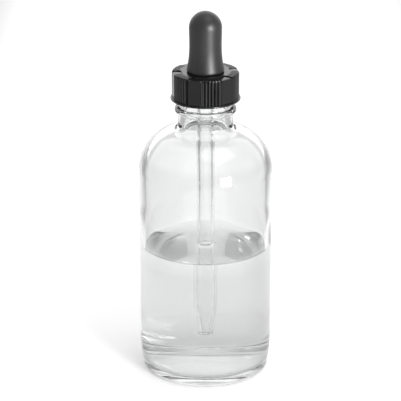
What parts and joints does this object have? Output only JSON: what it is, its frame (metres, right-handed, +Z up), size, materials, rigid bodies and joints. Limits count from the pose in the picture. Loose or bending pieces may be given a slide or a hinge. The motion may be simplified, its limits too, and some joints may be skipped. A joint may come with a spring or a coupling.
{
  "type": "medicine dropper",
  "caption": "Round clear glass dropper bottle with liquid, a ribbed screw cap, a glass pipette and a squeezable rubber bulb.",
  "frame": {"origin": "centre of the bottle's foot, on the surface it stands on", "axes": "+Z up along the shared axis of bottle, cap, pipette and bulb; -Y is the front"},
  "size_m": [0.0492, 0.0492, 0.1366],
  "materials": {
    "bottle_glass": "clear flint glass, moulded",
    "pipette_glass": "clear drawn glass tube",
    "liquid": "clear watery liquid",
    "seal": "soft white polyethylene",
    "cap_plastic": "glossy black moulded phenolic",
    "bulb_rubber": "satin black rubber"
  },
  "bodies": {
    "bottle": {"bottle": "bottle_glass", "liquid": "liquid"},
    "washer": {"washer": "seal"},
    "pipette": {"pipette": "pipette_glass", "pipette_liquid": "liquid"},
    "cap": {"cap": "cap_plastic"},
    "bulb": {"bulb": "bulb_rubber"}
  },
  "joints": [
    {"name": "dropper_lift", "type": "slide", "parent": "bottle", "child": "washer", "axis": [0, 0, 1], "range_m": [0, 0.11]},
    {"name": "cap_rise", "type": "slide", "parent": "washer", "child": "pipette", "axis": [0, 0, 1], "range_m": [0, 0.0036]},
    {"name": "cap_turn", "type": "hinge", "parent": "pipette", "child": "cap", "pos_m": [0, 0, 0.11], "axis": [0, 0, 1], "range_deg": [0, 400]},
    {"name": "bulb_squeeze", "type": "slide", "parent": "pipette", "child": "bulb", "axis": [0, 0, -1], "range_m": [0, 0.006], "stiffness_N_per_m": 1000, "deforming": ["bulb"]}
  ],
  "couplings": [
    {"joint": "cap_rise", "follows": "cap_turn", "m_per_rad": 0.00050532}
  ]
}
